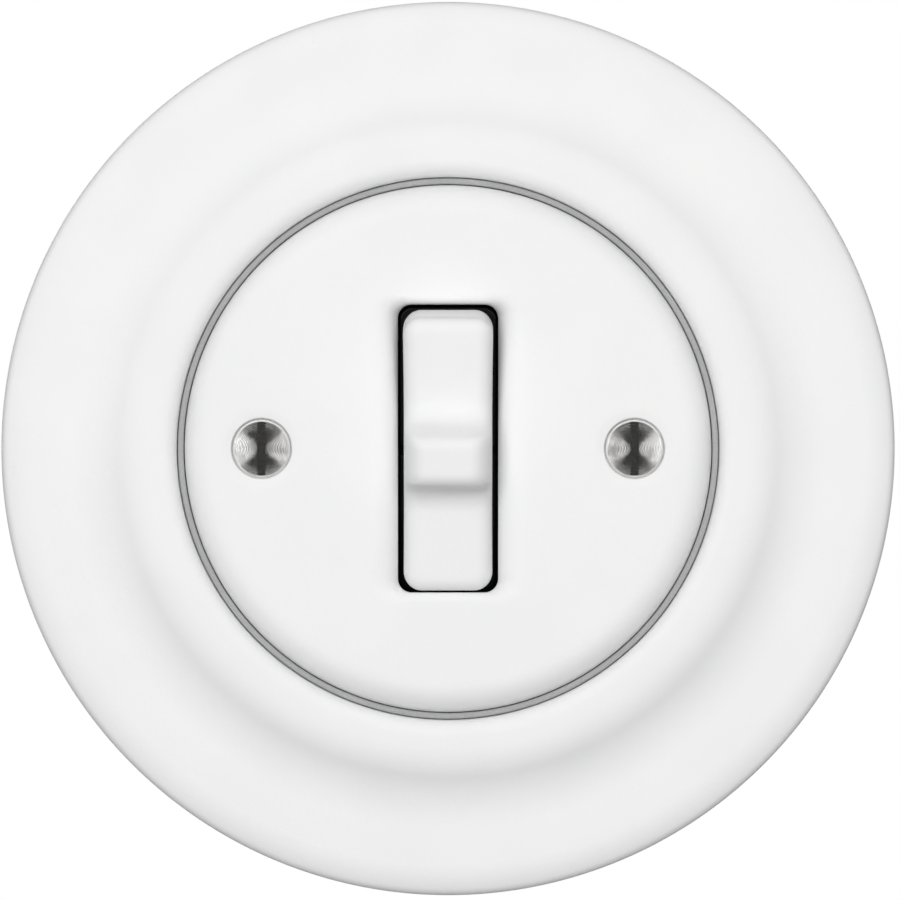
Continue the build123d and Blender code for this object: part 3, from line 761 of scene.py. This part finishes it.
# the inner parts keep their own shape, with eased edges (widths in mm)
easing = {
    "housing_base": 0, "housing_cover": 0.20, "support_plate": 0.12, "rocker_carrier": 0.12,
    "common_clamp": 0.12, "line_clamp_1": 0.12, "line_clamp_2": 0.12, "housing_rivets": 0.15,
    "contact_rocker": 0.08, "common_terminal": 0.08, "line_terminal_1": 0.08,
    "line_terminal_2": 0.08, "moving_contacts": 0.10, "fixed_contacts": 0.10,
    "clamp_screws": 0.08, "screw_washers": 0.08, "pivot_pin": 0.08, "spring_plunger": 0.05,
    "toggle_spring": 0,
}


def easeNode(name, width, slotName):
    node = frame["nodes"][name]
    node.data.materials.clear()
    node.data.materials.append(looks[slotName])
    weld = node.modifiers.new("weld", "WELD")
    weld.merge_threshold = 0.001 * mm
    if width:
        bevel = node.modifiers.new("ease", "BEVEL")
        bevel.width, bevel.segments = width * mm, 2
        bevel.limit_method, bevel.angle_limit = "ANGLE", math.radians(32)
        bevel.use_clamp_overlap = True
    weight = node.modifiers.new("shading", "WEIGHTED_NORMAL")
    weight.keep_sharp = True


for part in record["subparts"]:
    if part["node"] in easing:
        easeNode(part["node"], easing[part["node"]], part["material_slot"])
print("inner parts dressed:", len(easing))


# the studio: a pale floor, soft lights and a camera straight in front
studio = {
    "floorDrop": 0.16, "floorShade": (0.86, 0.86, 0.86), "worldWhite": 1.0,
    "worldDiffuse": 0.16, "worldBehind": 0.55, "worldGlossy": 0.05, "behindFrom": 0.15,
    "distance": 0.8, "focusDepth": -0.0067, "floorHalf": (0.9, 1.2),
    "lens": 285.6, "shift": (0.0022, -0.0016),
}
lamps = {
    "keyLamp": {"at": (-0.15, -1.10, 1.10), "size": (1.2, 0.8), "watts": 2.0, "glossy": False},
    "frontLamp": {"at": (-0.08, -1.6, 0.22), "size": (1.2, 0.9), "watts": 23.0, "glossy": False},
    "leftLamp": {"at": (-0.95, -0.36, 0.0), "size": (0.75, 1.5), "watts": 6.5, "glossy": True},
    "rightLamp": {"at": (0.95, -0.36, 0.0), "size": (0.75, 1.5), "watts": 6.5, "glossy": True},
}


def makeFloor():
    mesh = bmesh.new()
    halfX, halfY = studio["floorHalf"]
    corners = [mesh.verts.new((x * halfX, y * halfY, -studio["floorDrop"]))
               for x, y in ((-1, -1), (1, -1), (1, 1), (-1, 1))]
    mesh.faces.new(corners)
    data = bpy.data.meshes.new("studioFloor")
    mesh.to_mesh(data)
    mesh.free()
    look = Look("studioFloor")
    grain = look.speckle(3.0)
    look.surface({"Base Color": (*studio["floorShade"], 1), "Roughness": 0.85 + grain * 0.1})
    data.materials.append(look.material)
    floor = bpy.data.objects.new("studioFloor", data)
    bpy.context.scene.collection.objects.link(floor)
    floor.visible_glossy = floor.visible_diffuse = False  # keeps its bounce off the object


def makeWorld():
    world = bpy.data.worlds.new("studio")
    bpy.context.scene.world = world
    world.use_nodes = True
    tree = world.node_tree
    background = next(n for n in tree.nodes if n.type == "BACKGROUND")
    rays = tree.nodes.new("ShaderNodeLightPath")
    around = tree.nodes.new("ShaderNodeTexCoord")
    split = tree.nodes.new("ShaderNodeSeparateXYZ")
    tree.links.new(around.outputs["Generated"], split.inputs[0])
    behind = tree.nodes.new("ShaderNodeMapRange")  # brighter behind, so rims don't go dark
    behind.inputs["From Min"].default_value = 0.0
    behind.inputs["From Max"].default_value = studio["behindFrom"]
    behind.inputs["To Min"].default_value = studio["worldDiffuse"]
    behind.inputs["To Max"].default_value = studio["worldBehind"]
    tree.links.new(split.outputs["Y"], behind.inputs["Value"])
    glossy = tree.nodes.new("ShaderNodeMix")
    tree.links.new(behind.outputs["Result"], glossy.inputs[2])
    glossy.inputs[3].default_value = studio["worldGlossy"]
    tree.links.new(rays.outputs["Is Glossy Ray"], glossy.inputs[0])
    seen = tree.nodes.new("ShaderNodeMix")
    seen.inputs[3].default_value = studio["worldWhite"]
    tree.links.new(rays.outputs["Is Camera Ray"], seen.inputs[0])
    tree.links.new(glossy.outputs[0], seen.inputs[2])
    tree.links.new(seen.outputs[0], background.inputs["Strength"])
    background.inputs["Color"].default_value = (1, 1, 1, 1)


def makeLamp(name, spec):
    data = bpy.data.lights.new(name, "AREA")
    data.shape = "RECTANGLE"
    data.size, data.size_y = spec["size"]
    data.energy = spec["watts"]
    lamp = bpy.data.objects.new(name, data)
    lamp.location = spec["at"]
    lamp.rotation_euler = (-lamp.location).to_track_quat("-Z", "Y").to_euler()
    lamp.visible_glossy = spec["glossy"]
    lamp.visible_diffuse = not spec["glossy"]
    bpy.context.scene.collection.objects.link(lamp)


def makeCamera():
    data = bpy.data.cameras.new("frontCamera")
    data.sensor_width = 36
    data.lens = studio["lens"]
    data.shift_x, data.shift_y = studio["shift"]
    camera = bpy.data.objects.new("frontCamera", data)
    camera.location = (0, studio["focusDepth"] - studio["distance"], 0)
    camera.rotation_euler = (math.pi / 2, 0, 0)
    bpy.context.scene.collection.objects.link(camera)
    bpy.context.scene.camera = camera


makeFloor()
makeWorld()
for name, spec in lamps.items():
    makeLamp(name, spec)
makeCamera()
bpy.context.scene.view_settings.view_transform = "Standard"
print("studio ready")
